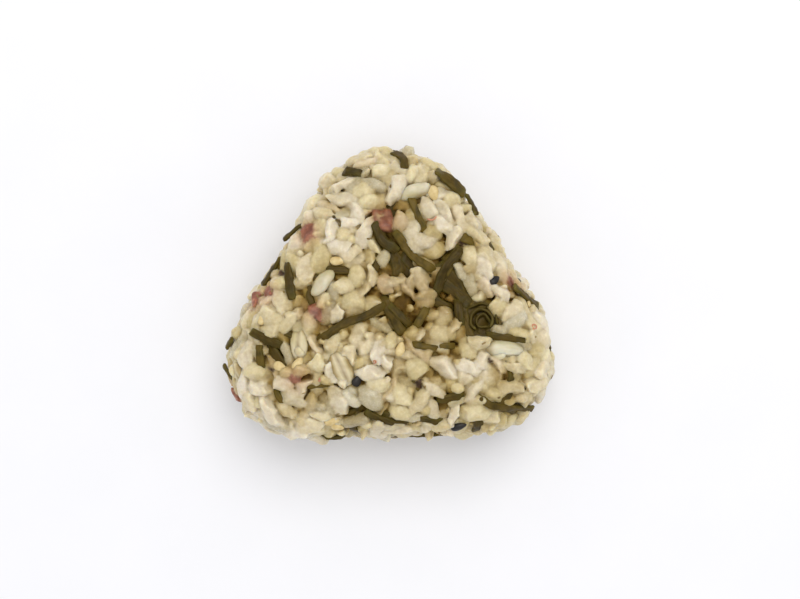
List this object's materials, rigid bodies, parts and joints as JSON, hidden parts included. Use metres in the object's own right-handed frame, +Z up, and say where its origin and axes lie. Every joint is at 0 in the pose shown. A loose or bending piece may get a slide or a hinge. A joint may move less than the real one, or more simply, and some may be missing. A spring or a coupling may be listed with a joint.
{
  "type": "onigiri rice ball",
  "caption": "Hand-sized rounded triangle of pressed rice and barley, laid flat, with strips of simmered kelp, pickle flakes and sesame worked in.",
  "frame": {"origin": "on the flat resting face, under the middle of the ball", "axes": "+Z up through the thickness, +Y towards the triangle's apex, +X along its long side"},
  "size_m": [0.0806, 0.0703, 0.031],
  "materials": {
    "rice": "cooked rice and barley: cream to pale yellow, slightly see-through, moist satin",
    "kelp": "simmered kelp: dark olive, wet and half glossy, paler along its cut edges"
  },
  "bodies": {
    "root": {"rice_ball": "rice", "kelp_strip_01": "kelp", "kelp_strip_02": "kelp", "kelp_strip_03": "kelp", "kelp_strip_04": "kelp", "kelp_strip_05": "kelp", "kelp_strip_06": "kelp", "kelp_strip_07": "kelp", "kelp_strip_08": "kelp", "kelp_strip_09": "kelp", "kelp_strip_10": "kelp", "kelp_strip_11": "kelp", "kelp_strip_12": "kelp", "kelp_strip_13": "kelp", "kelp_strip_14": "kelp", "kelp_strip_15": "kelp", "kelp_strip_16": "kelp", "kelp_strip_17": "kelp", "kelp_strip_18": "kelp", "kelp_strip_19": "kelp", "kelp_strip_20": "kelp", "kelp_strip_21": "kelp", "kelp_strip_22": "kelp", "kelp_strip_23": "kelp", "kelp_strip_24": "kelp", "kelp_strip_25": "kelp", "kelp_strip_26": "kelp", "kelp_strip_27": "kelp", "kelp_strip_28": "kelp", "kelp_strip_29": "kelp", "kelp_strip_30": "kelp", "kelp_strip_31": "kelp", "kelp_strip_32": "kelp", "kelp_strip_33": "kelp", "kelp_strip_34": "kelp", "kelp_strip_35": "kelp", "kelp_strip_36": "kelp"}
  },
  "joints": []
}
